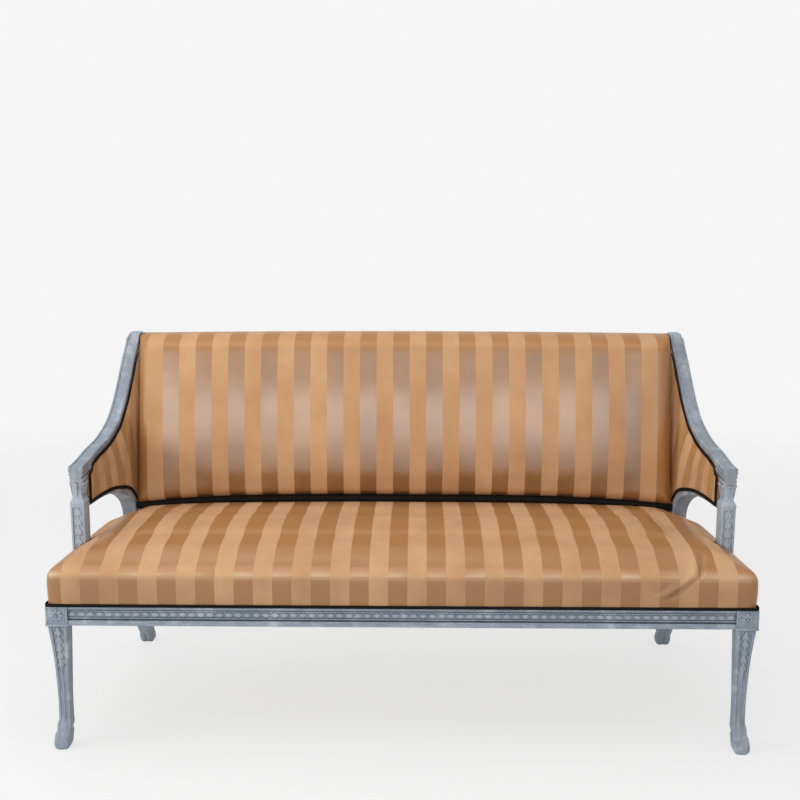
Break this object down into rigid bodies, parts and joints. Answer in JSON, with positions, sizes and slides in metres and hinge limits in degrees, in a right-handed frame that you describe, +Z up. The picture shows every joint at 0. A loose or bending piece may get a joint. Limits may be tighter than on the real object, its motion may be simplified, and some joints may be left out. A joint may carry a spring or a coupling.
{
  "type": "settee",
  "caption": "Painted show-wood settee with a crowned seat, a raked padded back, sweeping open arms and carved hoof feet, covered in striped satin.",
  "frame": {"origin": "middle of the settee's outer box on the floor", "axes": "+X along the seat to the right as seen from the front, +Y from front to back, +Z up"},
  "size_m": [1.6104, 0.7086, 0.905],
  "materials": {
    "painted_wood": "carved beech in worn pale grey-blue distemper paint, rubbed at the edges",
    "bare_wood": "unpainted sawn beech inside the frame",
    "steel": "plain steel wood screw",
    "jute": "woven jute webbing and hessian",
    "stuffing": "curled hair stuffing",
    "striped_satin": "woven stripe of matte peach and shiny gold satin",
    "black_braid": "narrow black woven braid"
  },
  "bodies": {
    "root": {"front_leg_left": "painted_wood", "front_leg_right": "painted_wood", "rear_leg_left": "painted_wood", "rear_leg_right": "painted_wood", "front_rail": "painted_wood", "rail_beading": "painted_wood", "corner_rosette_left": "painted_wood", "corner_rosette_right": "painted_wood", "rear_rail": "painted_wood", "side_rail_left": "painted_wood", "side_rail_right": "painted_wood", "arm_post_left": "painted_wood", "arm_post_right": "painted_wood", "arm_rail_left": "painted_wood", "arm_rail_right": "painted_wood", "arm_arch_left": "painted_wood", "arm_arch_right": "painted_wood", "front_brace_left": "bare_wood", "front_brace_right": "bare_wood", "rear_brace_left": "bare_wood", "rear_brace_right": "bare_wood", "seat_cross_bar_left": "bare_wood", "seat_cross_bar_right": "bare_wood", "crest_rail": "bare_wood", "lower_back_rail": "bare_wood", "back_upright_left": "bare_wood", "back_upright_right": "bare_wood", "front_brace_screw_left": "steel", "front_brace_screw_right": "steel", "rear_brace_screw_left": "steel", "rear_brace_screw_right": "steel", "seat_webbing": "jute", "seat_hessian": "jute", "back_webbing": "jute", "back_hessian": "jute", "arm_hessian_left": "jute", "arm_hessian_right": "jute", "seat_stuffing": "stuffing", "back_stuffing": "stuffing", "arm_stuffing_left": "stuffing", "arm_stuffing_right": "stuffing", "seat_cover": "striped_satin", "back_cover": "striped_satin", "arm_cover_left": "striped_satin", "arm_cover_right": "striped_satin", "outside_arm_left": "striped_satin", "outside_arm_right": "striped_satin", "outside_back": "striped_satin", "seat_gimp": "black_braid", "seat_side_gimp_left": "black_braid", "seat_side_gimp_right": "black_braid", "arm_gimp_left": "black_braid", "arm_gimp_right": "black_braid", "outside_back_gimp": "black_braid", "back_band": "black_braid"}
  },
  "joints": []
}
